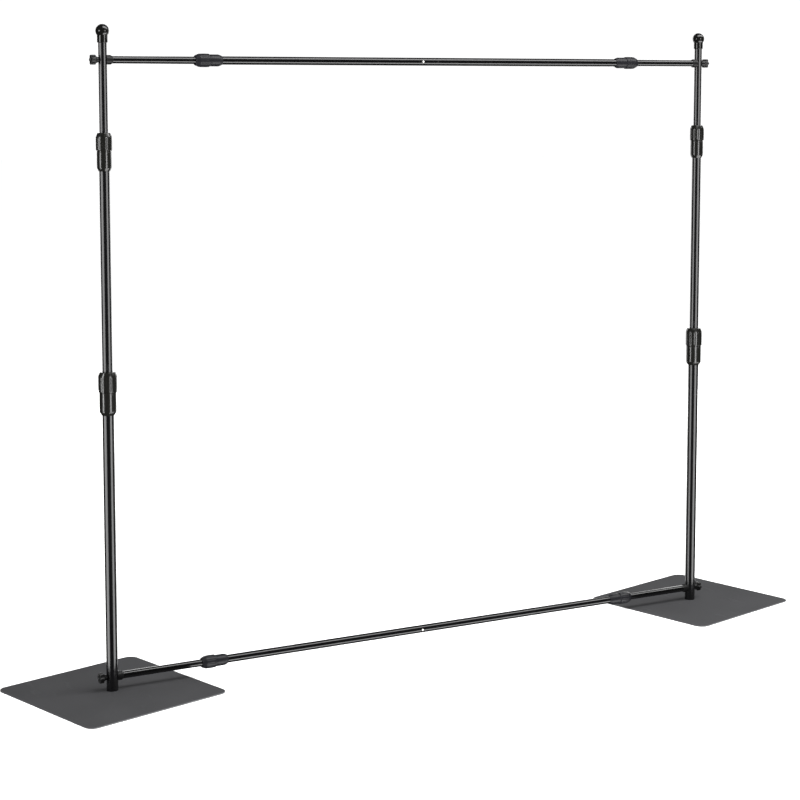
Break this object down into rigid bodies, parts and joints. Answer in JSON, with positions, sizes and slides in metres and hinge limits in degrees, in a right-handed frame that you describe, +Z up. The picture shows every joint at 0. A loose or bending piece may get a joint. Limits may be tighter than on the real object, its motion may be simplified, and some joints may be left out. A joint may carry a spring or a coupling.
{
  "type": "background support system",
  "caption": "Free-standing backdrop frame: two telescopic uprights on square steel base plates joined by telescopic top and bottom crossbars with twist locks, knob screws and ball finials.",
  "frame": {"origin": "on the floor, midway between the two uprights, under the crossbars", "axes": "+X along the crossbars from the left upright to the right one, +Y to the back, +Z up"},
  "size_m": [2.7588, 0.5988, 1.9996],
  "materials": {
    "gloss_tube": "gloss black powder-coated tube",
    "powder_coat": "fine-textured dark grey powder coat",
    "lock_black": "satin black moulded nylon",
    "lock_charcoal": "matte charcoal moulded nylon",
    "cap_black": "satin black moulded cap",
    "knob_black": "satin black moulded knob on a steel screw",
    "ball_black": "gloss black moulded ball",
    "grey_nylon": "grey nylon bearing plastic",
    "steel": "bright zinc-plated steel"
  },
  "bodies": {
    "left_base": {"left_base_plate": "powder_coat", "left_base_bolt": "steel", "left_foot_plug": "grey_nylon", "left_lower_tube": "gloss_tube", "left_lower_lock_body": "lock_black", "left_lower_lock_collet": "grey_nylon", "bottom_left_rod": "gloss_tube", "bottom_left_rod_guide": "grey_nylon", "bottom_left_end_plug": "cap_black"},
    "right_base": {"right_base_plate": "powder_coat", "right_base_bolt": "steel", "right_foot_plug": "grey_nylon", "right_lower_tube": "gloss_tube", "right_lower_lock_body": "lock_black", "right_lower_lock_collet": "grey_nylon", "bottom_right_rod": "gloss_tube", "bottom_right_rod_guide": "grey_nylon", "bottom_right_end_plug": "cap_black"},
    "top_bar": {"top_left_bar_tube": "gloss_tube", "top_right_bar_tube": "gloss_tube", "top_bar_spigot": "steel", "top_bar_lock_bodies": "lock_charcoal"},
    "top_button": {"top_bar_button": "steel"},
    "top_left_nut": {"top_left_bar_lock_nut": "lock_charcoal"},
    "top_left_knob": {"top_left_knob": "knob_black"},
    "top_right_nut": {"top_right_bar_lock_nut": "lock_charcoal"},
    "top_right_knob": {"top_right_knob": "knob_black"},
    "bottom_bar": {"bottom_left_bar_tube": "gloss_tube", "bottom_right_bar_tube": "gloss_tube", "bottom_bar_spigot": "steel", "bottom_bar_lock_bodies": "lock_charcoal"},
    "bottom_button": {"bottom_bar_button": "steel"},
    "bottom_left_nut": {"bottom_left_bar_lock_nut": "lock_charcoal"},
    "bottom_left_knob": {"bottom_left_knob": "knob_black"},
    "bottom_right_nut": {"bottom_right_bar_lock_nut": "lock_charcoal"},
    "bottom_right_knob": {"bottom_right_knob": "knob_black"},
    "left_lower_nut": {"left_lower_lock_nut": "lock_black"},
    "left_upper_nut": {"left_upper_lock_nut": "lock_black"},
    "left_mid": {"left_mid_tube": "gloss_tube", "left_mid_guide": "grey_nylon", "left_upper_lock_body": "lock_black", "left_upper_lock_collet": "grey_nylon"},
    "left_top": {"left_top_tube": "gloss_tube", "left_top_guide": "grey_nylon", "left_finial": "ball_black", "top_left_rod": "gloss_tube", "top_left_rod_guide": "grey_nylon", "top_left_end_plug": "cap_black"},
    "right_lower_nut": {"right_lower_lock_nut": "lock_black"},
    "right_upper_nut": {"right_upper_lock_nut": "lock_black"},
    "right_mid": {"right_mid_tube": "gloss_tube", "right_mid_guide": "grey_nylon", "right_upper_lock_body": "lock_black", "right_upper_lock_collet": "grey_nylon"},
    "right_top": {"right_top_tube": "gloss_tube", "right_top_guide": "grey_nylon", "right_finial": "ball_black"},
    "top_right_rod_end": {"top_right_rod": "gloss_tube", "top_right_rod_guide": "grey_nylon", "top_right_end_plug": "cap_black"}
  },
  "joints": [
    {"name": "bottom_left_slide", "type": "slide", "parent": "left_base", "child": "bottom_bar", "axis": [1, 0, 0], "range_m": [-0.15, 0.43]},
    {"name": "bottom_right_slide", "type": "slide", "parent": "bottom_bar", "child": "right_base", "axis": [1, 0, 0], "range_m": [-0.14, 0.44]},
    {"name": "top_left_slide", "type": "slide", "parent": "left_top", "child": "top_bar", "axis": [1, 0, 0], "range_m": [-0.15, 0.43]},
    {"name": "top_right_slide", "type": "slide", "parent": "top_bar", "child": "top_right_rod_end", "axis": [1, 0, 0], "range_m": [-0.14, 0.44]},
    {"name": "left_mid_slide", "type": "slide", "parent": "left_base", "child": "left_mid", "axis": [0, 0, 1], "range_m": [-0.575, 0.04]},
    {"name": "left_top_slide", "type": "slide", "parent": "left_mid", "child": "left_top", "axis": [0, 0, 1], "range_m": [-0.15, 0.4]},
    {"name": "right_mid_slide", "type": "slide", "parent": "right_base", "child": "right_mid", "axis": [0, 0, 1], "range_m": [-0.575, 0.04]},
    {"name": "right_top_slide", "type": "slide", "parent": "right_mid", "child": "right_top", "axis": [0, 0, 1], "range_m": [-0.15, 0.4]},
    {"name": "left_lower_nut_turn", "type": "hinge", "parent": "left_base", "child": "left_lower_nut", "pos_m": [-1.08, 0, 0.94], "axis": [0, 0, 1], "range_deg": [0, 120]},
    {"name": "left_upper_nut_turn", "type": "hinge", "parent": "left_mid", "child": "left_upper_nut", "pos_m": [-1.08, 0, 1.655], "axis": [0, 0, 1], "range_deg": [0, 120]},
    {"name": "right_lower_nut_turn", "type": "hinge", "parent": "right_base", "child": "right_lower_nut", "pos_m": [1.08, 0, 0.94], "axis": [0, 0, 1], "range_deg": [0, 120]},
    {"name": "right_upper_nut_turn", "type": "hinge", "parent": "right_mid", "child": "right_upper_nut", "pos_m": [1.08, 0, 1.655], "axis": [0, 0, 1], "range_deg": [0, 120]},
    {"name": "top_left_nut_turn", "type": "hinge", "parent": "top_bar", "child": "top_left_nut", "pos_m": [-0.7695, 0, 1.89561], "axis": [-1, 0, 0], "range_deg": [0, 120]},
    {"name": "top_left_knob_turn", "type": "hinge", "parent": "left_top", "child": "top_left_knob", "pos_m": [-1.11, 0, 1.89561], "axis": [-1, 0, 0], "range_deg": [0, 1080]},
    {"name": "top_right_nut_turn", "type": "hinge", "parent": "top_bar", "child": "top_right_nut", "pos_m": [0.7965, 0, 1.89561], "axis": [1, 0, 0], "range_deg": [0, 120]},
    {"name": "top_right_knob_turn", "type": "hinge", "parent": "right_top", "child": "top_right_knob", "pos_m": [1.11, 0, 1.89561], "axis": [1, 0, 0], "range_deg": [0, 1080]},
    {"name": "top_button_press", "type": "slide", "parent": "top_bar", "child": "top_button", "axis": [0, 1, 0], "range_m": [0, 0.0032], "stiffness_N_per_m": 600, "springref_m": -0.002},
    {"name": "bottom_left_nut_turn", "type": "hinge", "parent": "bottom_bar", "child": "bottom_left_nut", "pos_m": [-0.7695, 0, 0.046], "axis": [-1, 0, 0], "range_deg": [0, 120]},
    {"name": "bottom_left_knob_turn", "type": "hinge", "parent": "left_base", "child": "bottom_left_knob", "pos_m": [-1.11, 0, 0.046], "axis": [-1, 0, 0], "range_deg": [0, 1080]},
    {"name": "bottom_right_nut_turn", "type": "hinge", "parent": "bottom_bar", "child": "bottom_right_nut", "pos_m": [0.7965, 0, 0.046], "axis": [1, 0, 0], "range_deg": [0, 120]},
    {"name": "bottom_right_knob_turn", "type": "hinge", "parent": "right_base", "child": "bottom_right_knob", "pos_m": [1.11, 0, 0.046], "axis": [1, 0, 0], "range_deg": [0, 1080]},
    {"name": "bottom_button_press", "type": "slide", "parent": "bottom_bar", "child": "bottom_button", "axis": [0, 1, 0], "range_m": [0, 0.0032], "stiffness_N_per_m": 600, "springref_m": -0.002}
  ],
  "couplings": [
    {"joint": "top_left_slide", "follows": "bottom_left_slide", "ratio": 1},
    {"joint": "top_right_slide", "follows": "bottom_right_slide", "ratio": 1},
    {"joint": "right_mid_slide", "follows": "left_mid_slide", "ratio": 1},
    {"joint": "right_top_slide", "follows": "left_top_slide", "ratio": 1}
  ]
}
